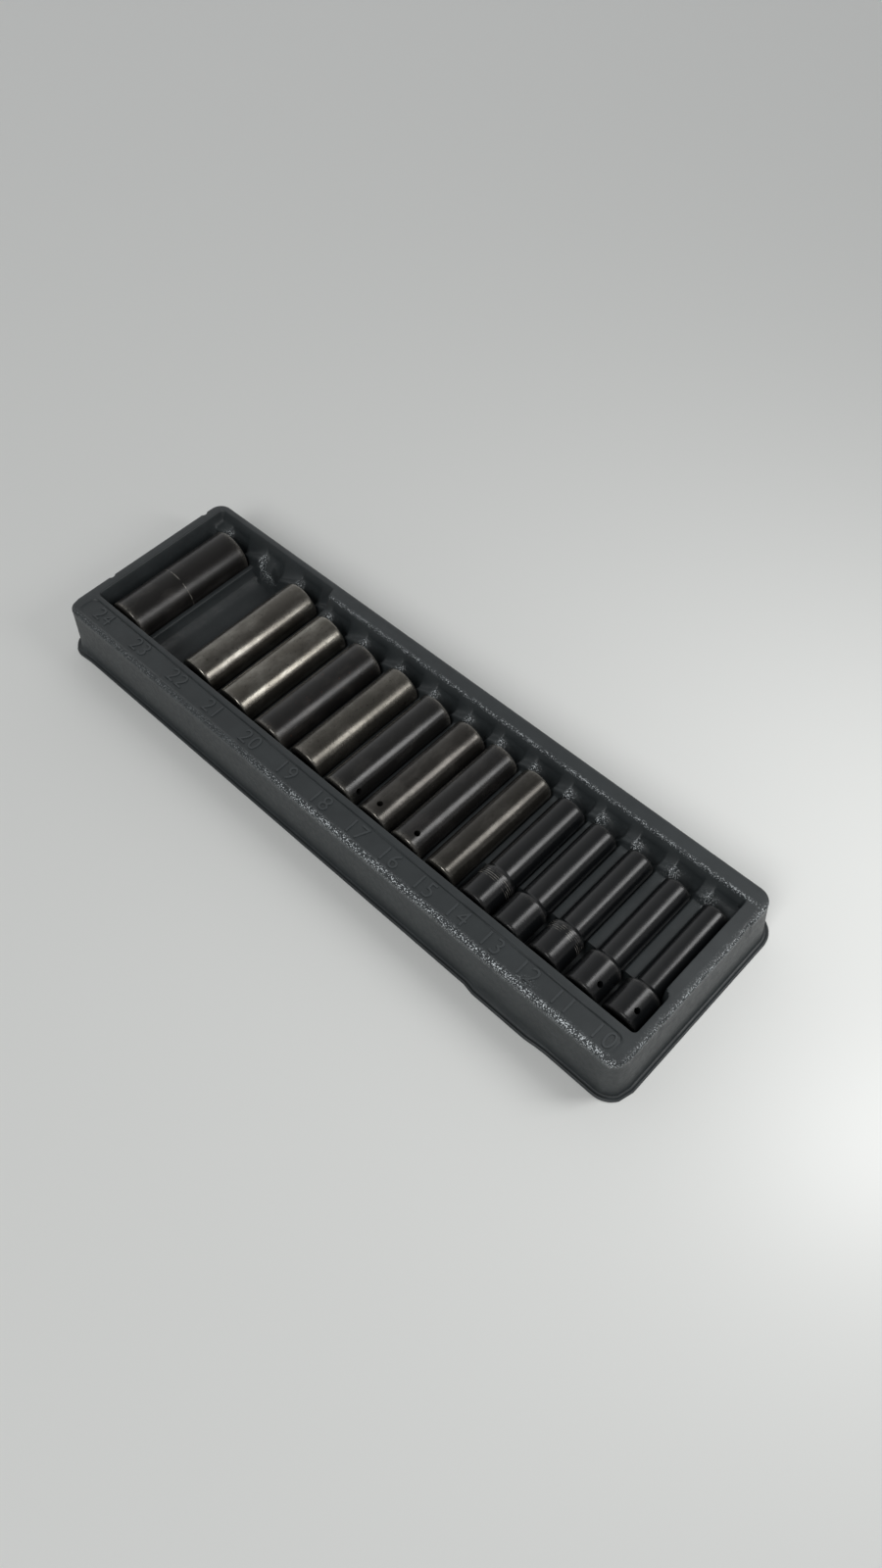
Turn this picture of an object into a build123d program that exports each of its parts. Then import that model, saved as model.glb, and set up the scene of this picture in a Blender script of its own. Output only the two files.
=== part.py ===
from build123d import *
import math
import os

# Sizes are in millimetres. The tray stands on z = 0, centred on x = y = 0, with +X along the row from the
# largest socket to the smallest, +Y from the numbered front to the back, and +Z up.

# Sockets, by metric hex size, in the order in which they lie from left to right
straight_diameter = {24: 34.5, 23: 32.5, 22: 31.0, 21: 29.5, 20: 29.0, 19: 27.5, 18: 26.2, 17: 25.2,
                     16: 24.2, 15: 23.2}
collar_diameter = 23.8
slim_diameter = {14: 21.8, 13: 20.5, 12: 19.2, 11: 18.4, 10: 17.5}
long_sizes = (24, 23, 22)       # these reach further back, and the back wall steps back behind them
empty_sizes = (23,)
socket_length = 87.5
long_socket_length = 94.2
collar_length = 21.8
collar_step_run = 3.2          # length of the slope from collar to slim body
drive_edge_chamfer = 1.2
nose_edge = 1.6                # how far the worn nose edge reaches in and back
drive_square = 12.9
drive_square_depth = 17.0
hex_play = 0.3                 # across the flats, over the nominal size
hex_depth_beyond_size = 5.0
bolt_bore_play = 1.0           # of the bore behind the hexagon, under the hexagon's flats
pin_hole_diameter = 3.8
pin_hole_from_end = 8.0

# How each socket happens to lie: gap to the front wall, and where its pin hole faces, in degrees from +X
front_gap = {24: 3.8, 22: 4.0, 21: 3.7, 20: 2.7, 19: 4.4, 18: 3.1, 17: 2.7, 16: 3.2, 15: 3.5,
             14: 2.7, 13: 1.9, 12: 3.0, 11: 2.8, 10: 3.9}
pin_hole_angle = {24: 262, 22: 285, 21: 250, 20: 300, 19: 275, 18: 28, 17: 88, 16: 70, 15: 240,
                  14: 265, 13: 290, 12: 255, 11: 50, 10: 60}

# Tray shell
tray_height = 38.0
wall = 1.2
outer_draft = 5.0              # degrees
inner_draft = 3.0              # degrees
flange_width = 3.0
skirt_corner = 13.0            # at the table
rim_edge_radius = 2.0
rim_left = 7.7
rim_right = 6.9                # beside the collars' trough
rim_front = 22.2
rim_back = 11.7
opening_corner = 3.0

# Cradles: each socket lies with this clearance all round, its top just below the rim
seat_clearance = 0.3
top_below_rim = 0.8
web = {24: 4.5, 23: 5.6, 22: 6.8, 21: 5.9, 20: 5.1, 19: 4.9, 18: 4.8, 17: 2.4, 16: 4.4, 15: 4.4,
       14: 1.7, 13: 3.0, 12: 3.2, 11: 2.2}   # between this socket and the next one on its right
left_margin = 5.15             # from the opening's left edge to the first socket
ridge_below_axis = 1.5
room_behind = 17.1             # opening behind a socket that touches the front wall
back_slope = 25.0              # degrees from upright
cradle_room_behind = 5.7       # cradle floor behind a socket that touches the front wall
step_past_long_row = 5.2       # from the last long socket's side to the step in the back wall
lug_length = 14.0
lug_below_rim = 8.0
trough_room = 7.7              # collar trough behind a collar that touches the front wall
trough_corner = 3.5
trough_side_gap = 0.2

# Formed details of the rim
band_depth = 0.6
band_inset_back = 2.8
band_inset_front = 4.0
band_inset_left = 1.0
band_inset_right = 1.9
band_corner = 5.0
notch_width = 5.0
notch_depth = 1.4
notch_height = 9.0
notch_top_below_rim = 3.0
notch_inset_front = 17.0
notch_inset_back = 6.0

over = 1.0                     # how far a cutter passes beyond the face that it opens

# Worked out from the sizes above
sizes = [*straight_diameter, *slim_diameter]
kept_sizes = [size for size in sizes if size not in empty_sizes]
rim_level = tray_height
outer_run = tray_height * math.tan(math.radians(outer_draft))


def drive_diameter(size):
    return straight_diameter.get(size, collar_diameter)


def nose_diameter(size):
    return straight_diameter.get(size) or slim_diameter[size]


def length_of(size):
    return long_socket_length if size in long_sizes else socket_length


def centres_from_opening():
    """Distance of each cradle's axis from the opening's left edge."""
    place = {sizes[0]: left_margin + drive_diameter(sizes[0]) / 2}
    for left, right in zip(sizes, sizes[1:]):
        pitch = (drive_diameter(left) + drive_diameter(right)) / 2 + web[left]
        place[right] = place[left] + pitch
    return place


row = centres_from_opening()
first, last = sizes[0], sizes[-1]
collared = list(slim_diameter)
trough_draft_run = (top_below_rim + collar_diameter + seat_clearance) * math.tan(math.radians(inner_draft))
opening_length = row[last] + collar_diameter / 2 + seat_clearance + trough_side_gap + trough_draft_run
opening_width = socket_length + room_behind
long_extra = long_socket_length - socket_length

rim_length = rim_left + opening_length + rim_right
rim_width = rim_front + opening_width + rim_back
skirt_length = rim_length + 2 * outer_run
skirt_width = rim_width + 2 * outer_run
opening_left = -rim_length / 2 + rim_left
opening_front = -rim_width / 2 + rim_front
opening_back = opening_front + opening_width


def axis_x(size):
    return opening_left + row[size]


def axis_z(size):
    return rim_level - top_below_rim - drive_diameter(size) / 2


def cradle_radius(size):
    return nose_diameter(size) / 2 + seat_clearance


jog_x = axis_x(long_sizes[-1]) + drive_diameter(long_sizes[-1]) / 2 + step_past_long_row
slim_side_run = (top_below_rim + collar_diameter / 2) * math.tan(math.radians(inner_draft))
slim_edge = axis_x(last) + cradle_radius(last) + slim_side_run
trough_end = opening_front + collar_length + trough_room
trough_floor = axis_z(last) - collar_diameter / 2 - seat_clearance


def socket(size):
    """One forged socket: a turned body, a hexagon in the nose, a square in the drive end, a pin hole."""
    x, z = axis_x(size), axis_z(size)
    front = opening_front + front_gap[size]
    length = length_of(size)
    drive_r, nose_r = drive_diameter(size) / 2, nose_diameter(size) / 2
    hex_flats = size + hex_play
    bore_r = (hex_flats - bolt_bore_play) / 2
    hex_depth = size + hex_depth_beyond_size
    profile_plane = Plane(origin=(x, front, z), x_dir=(1, 0, 0), z_dir=(0, 0, 1))
    nose_plane = Plane(origin=(x, front + length, z), x_dir=(1, 0, 0), z_dir=(0, 1, 0))
    drive_plane = Plane(origin=(x, front, z), x_dir=(1, 0, 0), z_dir=(0, 1, 0))
    turn = math.radians(pin_hole_angle[size])
    hole_plane = Plane(origin=(x, front + pin_hole_from_end, z), x_dir=(0, 1, 0),
                       z_dir=(math.cos(turn), 0, math.sin(turn)))
    with BuildPart() as body:
        with BuildSketch(profile_plane):
            with BuildLine():
                Polyline((0, drive_square_depth), (0, 0), (drive_r - drive_edge_chamfer, 0),
                         (drive_r, drive_edge_chamfer))
                if size in slim_diameter:
                    Line((drive_r, drive_edge_chamfer), (drive_r, collar_length))
                    Line((drive_r, collar_length), (nose_r, collar_length + collar_step_run))
                    Line((nose_r, collar_length + collar_step_run), (nose_r, length - nose_edge))
                else:
                    Line((drive_r, drive_edge_chamfer), (nose_r, length - nose_edge))
                Polyline((nose_r, length - nose_edge), (nose_r - nose_edge, length), (bore_r, length),
                         (bore_r, drive_square_depth), (0, drive_square_depth))
            make_face()
        revolve(axis=Axis((x, front, z), (0, 1, 0)))
        with BuildSketch(nose_plane):
            RegularPolygon(hex_flats / 2, 6, major_radius=False)
        extrude(amount=-hex_depth, mode=Mode.SUBTRACT)
        with BuildSketch(drive_plane):
            Rectangle(drive_square, drive_square)
        extrude(amount=drive_square_depth, mode=Mode.SUBTRACT)
        with BuildSketch(hole_plane):
            Circle(pin_hole_diameter / 2)
        extrude(amount=drive_r + over, mode=Mode.SUBTRACT)
    return body.part


def back_limit(grow):
    """The space in front of the sloped back wall, which steps back behind the long sockets."""
    run = math.tan(math.radians(back_slope))
    shift = grow / math.cos(math.radians(back_slope))
    left = opening_left - rim_left
    stretches = ((rim_length, 0), (jog_x + grow - left, long_extra))
    with BuildPart() as limit:
        for stretch, extra in stretches:
            back = opening_back + extra
            floor_end = opening_front + socket_length + cradle_room_behind + extra
            bend = rim_level - (back - floor_end) / run
            with BuildSketch(Plane(origin=(left, 0, 0), x_dir=(0, 1, 0), z_dir=(1, 0, 0))):
                with BuildLine():
                    Polyline(
                        (opening_front - rim_front, -over),
                        (floor_end + grow, -over),
                        (floor_end + grow, bend - (shift - grow) / run),
                        (back + shift + over * run, rim_level + over),
                        (opening_front - rim_front, rim_level + over),
                        close=True,
                    )
                make_face()
            extrude(amount=stretch)
    return limit.part


def upper_recess(grow):
    """The open space above the ridges and lugs, inside the drafted end and front walls."""
    depth = rim_level - (axis_z(first) - ridge_below_axis) + grow
    floor = rim_level - depth
    run = depth * math.tan(math.radians(inner_draft))
    left_run = left_margin - seat_clearance
    left_angle = math.atan(left_run / (rim_level - axis_z(first)))
    back = opening_back + long_extra
    ridge_ends = [axis_x(first) - drive_diameter(first) / 2 - left_margin - grow]
    with BuildPart() as space:
        for left, right in zip(sizes, sizes[1:]):
            lug_back = opening_back + (long_extra if left in long_sizes else 0)
            level = (axis_z(left) + axis_z(right)) / 2 - ridge_below_axis - grow
            with BuildSketch(Plane.XY.offset(level)):
                with Locations(((axis_x(left) + axis_x(right)) / 2,
                                (opening_front - grow + lug_back - lug_length + grow) / 2)):
                    Rectangle(axis_x(right) - axis_x(left), lug_back - lug_length - opening_front + 2 * grow)
            extrude(amount=rim_level + over - level)
        for size, side in ((first, -1), (last, 1)):
            reach = left_margin + drive_diameter(size) / 2 + grow + over
            with BuildSketch(Plane.XY.offset(axis_z(size) - grow)):
                with Locations((axis_x(size) + side * reach / 2, (opening_front + back) / 2)):
                    Rectangle(reach, back - opening_front + 2 * grow)
            extrude(amount=rim_level + over - axis_z(size) + grow)
        with BuildSketch(Plane.XY.offset(rim_level - lug_below_rim - grow)):
            with Locations(((opening_left + slim_edge) / 2, (opening_front + back) / 2)):
                Rectangle(slim_edge - opening_left + 2 * grow, back - opening_front + 2 * grow)
        extrude(amount=lug_below_rim + grow + over)
        for size in sizes:
            with BuildSketch(Plane.XY.offset(axis_z(size))):
                with Locations((axis_x(size), (opening_front + back) / 2)):
                    Rectangle(2 * (cradle_radius(size) + grow), back - opening_front + 2 * grow)
            extrude(amount=rim_level + over - axis_z(size))
    with BuildPart() as inside:
        with BuildSketch(Plane.XY.offset(floor)):
            with Locations(((opening_left + slim_edge) / 2, (opening_front + back) / 2)):
                RectangleRounded(slim_edge - opening_left + 2 * (grow - run),
                                 back - opening_front + 2 * (grow - run), opening_corner)
        extrude(amount=depth + over, taper=-inner_draft)
        with BuildSketch(Plane(origin=(0, opening_front - rim_front, 0), x_dir=(1, 0, 0), z_dir=(0, -1, 0))):
            with BuildLine():
                Polyline(
                    (opening_left - grow / math.cos(left_angle) - over * math.tan(left_angle), rim_level + over),
                    (opening_left - grow / math.cos(left_angle)
                     + (rim_level - floor + over) * math.tan(left_angle), floor - over),
                    (opening_left + rim_length, floor - over),
                    (opening_left + rim_length, rim_level + over),
                    close=True,
                )
            make_face()
        extrude(amount=-rim_width, mode=Mode.INTERSECT)
    return space.part & inside.part


def recess(grow):
    """All that is hollowed out from above. Grown by the wall, it shapes the underside."""
    cradle_front = opening_front + slim_side_run - grow
    cradle_back = opening_back + long_extra
    with BuildPart() as hollow:
        add(upper_recess(grow))
        for size in sizes:
            with BuildSketch(Plane(origin=(axis_x(size), cradle_front, axis_z(size)), x_dir=(1, 0, 0),
                                   z_dir=(0, 1, 0))):
                Circle(cradle_radius(size) + grow)
            extrude(amount=cradle_back - cradle_front)
        trough_left = axis_x(collared[0]) - collar_diameter / 2 - seat_clearance
        trough_right = axis_x(last) + collar_diameter / 2 + seat_clearance + trough_side_gap
        trough_front = opening_front + trough_draft_run
        with BuildSketch(Plane.XY.offset(trough_floor - grow)):
            with Locations(((trough_left + trough_right) / 2, (trough_front + trough_end) / 2)):
                RectangleRounded(trough_right - trough_left + 2 * grow, trough_end - trough_front + 2 * grow,
                                 trough_corner + grow)
        extrude(amount=rim_level + over - trough_floor + grow, taper=-inner_draft)
        add(back_limit(grow), mode=Mode.INTERSECT)
    return hollow.part


def label_band(grow):
    """The shallow sunk strip of the front rim that carries the numbers."""
    left = opening_left + band_inset_left
    right = opening_left + opening_length - band_inset_right
    front = opening_front - rim_front + band_inset_front
    back = opening_front - band_inset_back
    with BuildPart() as band:
        with BuildSketch(Plane.XY.offset(rim_level - band_depth - grow)):
            with Locations(((left + right) / 2, (front + back) / 2)):
                RectangleRounded(right - left + 2 * grow, back - front + 2 * grow, band_corner + grow)
        extrude(amount=band_depth + grow + over)
    return band.part


def stacking_notches(grow):
    """Two small dents in each end wall, which keep nested trays from jamming."""
    front = opening_front + notch_inset_front
    back = opening_back - notch_inset_back
    with BuildPart() as dents:
        for side in (-1, 1):
            for y in (front, back):
                with BuildSketch(Plane(origin=(0, y - notch_width / 2 - grow, 0), x_dir=(1, 0, 0),
                                       z_dir=(0, 1, 0))):
                    with BuildLine():
                        Polyline(
                            (side * (rim_length / 2 - notch_depth - grow), -(rim_level + over)),
                            (side * (rim_length / 2 + outer_run), -(rim_level + over)),
                            (side * (rim_length / 2 + outer_run), -(rim_level - notch_height - grow)),
                            (side * (rim_length / 2 - notch_depth - grow), -(rim_level - notch_top_below_rim)),
                            close=True,
                        )
                    make_face()
                extrude(amount=notch_width + 2 * grow)
    return dents.part


def skirt_block(inset, height, corner):
    """The tray's drafted outer block, or its inside when it is inset by the wall."""
    with BuildPart() as block:
        with BuildSketch():
            RectangleRounded(skirt_length - 2 * inset, skirt_width - 2 * inset, corner)
        extrude(amount=height, taper=outer_draft)
    return block.part


def tray_shell():
    """One formed sheet of even thickness: outside block and flange, less the recess, less the underside."""
    with BuildPart() as underside:
        add(skirt_block(wall, tray_height - wall, skirt_corner - wall))
        fillet(underside.faces().sort_by(Axis.Z)[-1].edges(), rim_edge_radius - wall)
        add(stacking_notches(wall), mode=Mode.SUBTRACT)
        add(label_band(wall), mode=Mode.SUBTRACT)
        add(recess(wall), mode=Mode.SUBTRACT)
    with BuildPart() as shell:
        add(skirt_block(0, tray_height, skirt_corner))
        fillet(shell.faces().sort_by(Axis.Z)[-1].edges(), rim_edge_radius)
        add(stacking_notches(0), mode=Mode.SUBTRACT)
        with BuildSketch():
            RectangleRounded(skirt_length + 2 * flange_width, skirt_width + 2 * flange_width,
                             skirt_corner + flange_width)
        extrude(amount=wall)
        add(label_band(0), mode=Mode.SUBTRACT)
        add(recess(0), mode=Mode.SUBTRACT)
        add(underside.part, mode=Mode.SUBTRACT)
    return shell.part


os.makedirs("parts", exist_ok=True)

tray = tray_shell()
tray.label = "tray"
export_step(tray, "parts/tray.step")

for size in kept_sizes:
    piece = socket(size)
    piece.label = f"socket_{size}"
    export_step(piece, f"parts/socket_{size}.step")
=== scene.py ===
import math
import bpy
import numpy as np
from mathutils import Matrix, Vector


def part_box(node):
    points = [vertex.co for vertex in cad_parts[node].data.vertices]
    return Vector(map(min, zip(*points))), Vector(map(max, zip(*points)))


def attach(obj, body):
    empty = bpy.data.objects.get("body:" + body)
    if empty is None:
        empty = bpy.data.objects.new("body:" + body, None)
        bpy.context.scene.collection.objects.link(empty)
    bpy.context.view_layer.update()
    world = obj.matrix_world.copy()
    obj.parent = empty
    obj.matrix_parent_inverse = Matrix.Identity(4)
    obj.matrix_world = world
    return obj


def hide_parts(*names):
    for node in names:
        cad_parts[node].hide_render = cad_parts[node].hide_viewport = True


# A formed tray with a row of deep impact sockets. Sizes are in millimetres until a mesh is made.

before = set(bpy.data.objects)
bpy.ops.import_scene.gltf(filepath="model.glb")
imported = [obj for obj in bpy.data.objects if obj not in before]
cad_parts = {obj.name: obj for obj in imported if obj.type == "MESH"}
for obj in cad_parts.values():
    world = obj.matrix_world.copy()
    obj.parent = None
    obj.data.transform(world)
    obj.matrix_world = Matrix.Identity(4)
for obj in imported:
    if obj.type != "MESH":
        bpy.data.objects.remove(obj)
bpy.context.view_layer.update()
mm = 0.001

trayLow, trayHigh = (np.array(corner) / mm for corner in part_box("tray"))
keptSizes = sorted((int(node.split("_")[1]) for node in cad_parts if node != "tray"), reverse=True)
print("frame loaded:", len(keptSizes), "sockets")


def smoothStep(low, high, value):
    share = np.clip((value - low) / (high - low), 0, 1)
    return share * share * (3 - 2 * share)


def makeMesh(name, points, faces, smoothBelow):
    mesh = bpy.data.meshes.new(name)
    mesh.from_pydata((np.asarray(points) * mm).tolist(), [], np.asarray(faces).tolist())
    mesh.update()
    mesh.polygons.foreach_set("use_smooth", np.ones(len(mesh.polygons), bool))
    mesh.set_sharp_from_angle(angle=math.radians(smoothBelow))
    piece = bpy.data.objects.new(name, mesh)
    bpy.context.scene.collection.objects.link(piece)
    return piece


def setAttribute(piece, name, values):
    attribute = piece.data.attributes.new(name, "FLOAT", "POINT")
    attribute.data.foreach_set("value", np.asarray(values, np.float32))


def readPoints(piece):
    points = np.zeros(len(piece.data.vertices) * 3)
    piece.data.vertices.foreach_get("co", points)
    return points.reshape(-1, 3) / mm


def signedVolume(piece):
    piece.data.calc_loop_triangles()
    corners = np.zeros(len(piece.data.loop_triangles) * 3, int)
    piece.data.loop_triangles.foreach_get("vertices", corners)
    a, b, c = readPoints(piece)[corners.reshape(-1, 3)].transpose(1, 0, 2)
    return float((a * np.cross(b, c)).sum()) / 6


# Sockets

socketShape = dict(
    slimDiameter={14: 21.8, 13: 20.5, 12: 19.2, 11: 18.4, 10: 17.5},   # behind the collar
    collarLength=21.8,
    stepRun=3.2,                  # from collar to slim body
    driveChamfer=1.2,
    noseEdge=1.6,
    driveSquare=12.9,
    squareCorner=1.36,            # blunt corners: this many half squares from the middle
    squareMouth=0.5,
    squareDepth=17.0,
    hexPlay=0.3,
    hexBeyondSize=5.0,
    boltPlay=1.0,
    leadIn=0.8,
    pinHole=3.8,
    pinFromEnd=8.0,
    pinAngle={24: 262, 22: 285, 21: 250, 20: 300, 19: 275, 18: 28, 17: 88, 16: 70, 15: 240,
              14: 265, 13: 290, 12: 255, 11: 50, 10: 60},
    drillSides=32,
    drillPastSurface=2.0,
    anglesRound=96,               # divides by 24, so that it meets every corner of square and hexagon
    bendAngles=(0, 22.5, 45, 67.5, 90),
    stepRings=9,
    ringsByEdge=(1, 2.5, 5),      # extra rings beside an edge keep the shading even
    ringsByStep=(0.6, 1.5, 3, 6),
    smoothBelow=28,               # degrees
)

wearLook = dict(inset=0.4, driveWidth=1.0, noseWidth=1.2, collarWidth=0.7, strength=1.3)


def socketPlace(size):
    low, high = (np.array(corner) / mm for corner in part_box(f"socket_{size}"))
    return dict(x=(low[0] + high[0]) / 2, z=(low[2] + high[2]) / 2, front=low[1],
                length=high[1] - low[1], drive=(high[0] - low[0]) / 2,
                nose=socketShape["slimDiameter"].get(size, high[0] - low[0]) / 2)


def socketMesh(size):
    # Rings round the axis: P(t, k) = (x + r_k(t) cos t, front + y_k, z + r_k(t) sin t), from the bore out
    # over the nose, along the outside and back in through the square, so that the surface closes on itself
    shape, place = socketShape, socketPlace(size)
    turn = np.linspace(0, 2 * math.pi, shape["anglesRound"], endpoint=False)
    length, drive, nose = place["length"], place["drive"], place["nose"]
    flats = (size + shape["hexPlay"]) / 2
    bore = flats - shape["boltPlay"] / 2
    hexBottom = length - size - shape["hexBeyondSize"]
    circle = np.ones_like(turn)
    sixth = math.pi / 3
    hexagon = 1 / np.cos((turn + sixth / 2) % sixth - sixth / 2)
    square = np.minimum(1 / np.maximum(abs(np.cos(turn)), abs(np.sin(turn))), shape["squareCorner"])
    half, mouth, squareEnd = shape["driveSquare"] / 2, shape["squareMouth"], shape["squareDepth"]
    edge, chamfer, leadIn = shape["noseEdge"], shape["driveChamfer"], shape["leadIn"]
    bends = [(math.sin(bend), math.cos(bend)) for bend in np.radians(shape["bendAngles"])]

    stations = [(squareEnd, bore * circle), (hexBottom, bore * circle), (hexBottom, flats * hexagon),
                (length - leadIn, flats * hexagon), (length, (flats + leadIn) * hexagon)]
    stations += [(length - edge + edge * cos, (nose - edge + edge * sin) * circle) for sin, cos in bends]
    stations += [(length - edge - back, nose * circle) for back in shape["ringsByEdge"]]
    if size in shape["slimDiameter"]:
        top = shape["collarLength"]
        foot = top + shape["stepRun"]
        share = np.linspace(0, 1, shape["stepRings"])
        blend = smoothStep(0, 1, share)
        stations += [(foot + (top - foot) * t, (nose + (drive - nose) * b) * circle)
                     for t, b in zip(share, blend)]
        stations += [(top - back, drive * circle) for back in shape["ringsByStep"]]
    stations += [(chamfer + back, drive * circle) for back in reversed(shape["ringsByEdge"])]
    stations += [(chamfer - chamfer * sin, (drive - chamfer + chamfer * cos) * circle) for sin, cos in bends]
    stations += [(0, (half + mouth) * square), (mouth, half * square), (squareEnd, half * square)]

    along = np.array([y for y, _ in stations])[:, None]
    radius = np.array([r for _, r in stations])
    points = np.stack([place["x"] + radius * np.cos(turn), place["front"] + along + 0 * radius,
                       place["z"] + radius * np.sin(turn)], -1)
    rings, count = radius.shape
    ring, step = np.meshgrid(np.arange(rings), np.arange(count), indexing="ij")
    nextRing, nextStep = (ring + 1) % rings, (step + 1) % count
    faces = np.stack([ring * count + step, ring * count + nextStep,
                      nextRing * count + nextStep, nextRing * count + step], -1).reshape(-1, 4)
    piece = makeMesh(f"impactSocket{size}", points.reshape(-1, 3), faces, shape["smoothBelow"])
    if signedVolume(piece) < 0:
        piece.data.flip_normals()
    return piece


def drillPinHole(piece, size):
    shape, place = socketShape, socketPlace(size)
    angle = math.radians(shape["pinAngle"][size])
    reach = place["drive"] + shape["drillPastSurface"]
    direction = Vector((math.cos(angle), 0, math.sin(angle)))
    axis = Vector((place["x"], place["front"] + shape["pinFromEnd"], place["z"]))
    middle = axis + direction * reach / 2
    bpy.ops.mesh.primitive_cylinder_add(vertices=shape["drillSides"], radius=shape["pinHole"] / 2 * mm,
                                        depth=reach * mm)
    drill = bpy.context.object
    turned = direction.to_track_quat("Z", "Y").to_matrix().to_4x4()
    drill.matrix_world = Matrix.Translation(middle * mm) @ turned
    bpy.context.view_layer.update()
    cut = piece.modifiers.new("pinHole", "BOOLEAN")
    cut.object, cut.operation, cut.solver = drill, "DIFFERENCE", "EXACT"
    shaped = bpy.data.meshes.new_from_object(piece.evaluated_get(bpy.context.evaluated_depsgraph_get()))
    piece.modifiers.clear()
    piece.data = shaped
    piece.data.set_sharp_from_angle(angle=math.radians(shape["smoothBelow"]))
    bpy.data.objects.remove(drill)


def markSocket(piece, size):
    # along: 0 at the drive end, 1 at the nose. wear: 1 on the outer edges, falling off as exp(-d / width).
    shape, place, look = socketShape, socketPlace(size), wearLook
    points = readPoints(piece)
    y = points[:, 1] - place["front"]
    radial = np.hypot(points[:, 0] - place["x"], points[:, 2] - place["z"])
    wear = np.exp(-np.hypot(y, radial - place["drive"] + look["inset"]) / look["driveWidth"])
    fromNose = np.hypot(y - place["length"], radial - place["nose"] + look["inset"])
    wear = np.maximum(wear, np.exp(-fromNose / look["noseWidth"]))
    if size in shape["slimDiameter"]:
        fromCollar = np.hypot(y - shape["collarLength"] + look["inset"], radial - place["drive"])
        wear = np.maximum(wear, np.exp(-fromCollar / look["collarWidth"]))
    setAttribute(piece, "along", y / place["length"])
    setAttribute(piece, "wear", np.clip(wear * look["strength"], 0, 1))


sockets = {}
for size in keptSizes:
    sockets[size] = socketMesh(size)
    drillPinHole(sockets[size], size)
    markSocket(sockets[size], size)
print("sockets shaped")

# Tray: x from the opening's left edge, y from its front edge, z from the rim's level

form = dict(
    wall=1.2, outerDraft=5.0, outerCorner=13.0, edgeRadius=2.0,
    rimLeft=7.7, rimRight=6.9, rimFront=22.2, rimBack=11.7,
    backStep=6.7, backStepFrom=116.9, backStepTo=120.2,      # the opening is longer behind the long sockets
    troughReach=4.07, troughReachFrom=27.0, troughReachTo=32.0,
    openingCorner=3.0, openingEdge=0.8,
    steep=3.0, leftSlope=15.0, backSlope=25.0,               # degrees from upright
    cradleEnd=11.4,                                          # inside the opening's back edge
    seat=0.3, emptySize=23, emptyX=60.4, emptyDiameter=32.5, emptyBelowRim=0.8,
    ridgeBelowAxis=1.5, ridgeEdge=0.8,
    troughFloor=-24.9, troughFront=-5.0, troughEnd=29.5,
    troughCorner=3.5, troughMargin=12.4, troughFillet=1.5,
    lugBelowRim=8.0, lugEdge=2.4, lugFrontSlope=10.0, lugLean=0.42, lugFoot=2.4,
    lugFillet=4.5, lugFilletFrom=-1.0, lugFilletFull=2.0, lugFilletBelow=2.0,    # lug into back wall
    slotRadius=8.5, slotLength=8.8, slotEdge=1.6, slotSlant=34.0, slotEndSlant=48.0,
    bandDepth=0.6, bandFront=-18.2, bandBack=-3.3, bandSlant=-0.0044, bandLeft=1.0, bandRightOfTrough=-1.9,
    bandCorner=5.0, bandEdge=0.35,
    grooveDepth=0.4, grooveInset=0.3, grooveWidth=0.4, grooveReach=4.0,          # along the band's back edge
    rimBends=(0, 18, 36, 54, 70, 85), skirtOffset=-0.17, skirtFrom=1.8, skirtLevels=(3, 6, 9.5, 12, 22, 32),
    footFillet=((-0.35, 1.4), (0.05, 0.25), (0.5, 0)),       # out from the skirt's foot, up from the flange
    flangeWidth=3.0, flangeEdge=0.3, flangeFoot=0.2,
    flangeBead=((0.5, 0), (0.66, 0.35), (0.8, 0)),           # share of the flange's width, up from the flange
    innerSkirt=((0, 0), (-0.3, 3)),                          # out from the inner foot, up from the table
    innerRim=((0.2, -6.0), (-0.4, -2.0), (-1.3, -1.4)),      # out from the inner wall, up from the rim
    notches=((-1, 17), (-1, 100), (1, 13), (1, 92)),         # side and y
    notchWidth=5.0, notchDepth=1.3, notchHeight=9.0, notchTop=1.0,
    flangeSpring=1.3, springHeight=5.0, springFall=16.0, springEndsAt=431.0, crackAt=373.0, crackHalf=0.8,
    cornerBulge=0.8, bulgeAt=2.0, bulgeReach=6.0, frontPastCore=4.0,
    smoothBelow=40,
)

# Grid lines of the sheet: close together over each bend, far apart on the flat
gridPlan = dict(
    bend=(-0.8, -0.5, -0.25, 0, 0.3, 0.7, 1.2, 1.8, 2.4, 3.0),     # into the opening from its edge
    leftRim=(-3.2, -1.6), leftWall=(4.0, 4.85, 5.0), rightRim=(2.4,), rightWall=np.arange(3.2, 5, 0.4),
    backStepMargin=0.4,
    cradle=(-90, -82, -58, -20, 20, 58, 82, 90), emptyCradle=np.linspace(-84, 84, 15),     # degrees
    slot=(0, 0.7, 1.6), ridge=(0, 0.1, 0.35, 0.8),
    frontRim=(-20.6, -19.8, -19.0, -17.0, -16.4, -15.8, -12, -8, -6.9),
    bandFront=(-0.4, 0, 0.4), bandBack=np.arange(-3.0, 0.9, 0.42),
    trough=(5, 8, 10.4, 11.7, 13, 14.3, 15.6, 17, 18.3, 19.6, 22.5, 24.2),
    troughEnd=np.arange(25.6, 32.6, 1.2), bodies=(36, 46, 58, 70, 82),
    cradleEnd=(-1.2, -0.04, 0.04, 0.4, 1.0, 1.8, 2.8, 4), slotEnd=(-1.6, -0.25, 0, 0.3, 0.65, 1.0),
    backWall=(100, 101.3, 102.6), backRim=1.2,
)
leastGap = 0.035
aboveRidges, farDown = -0.1, 99.0

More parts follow.
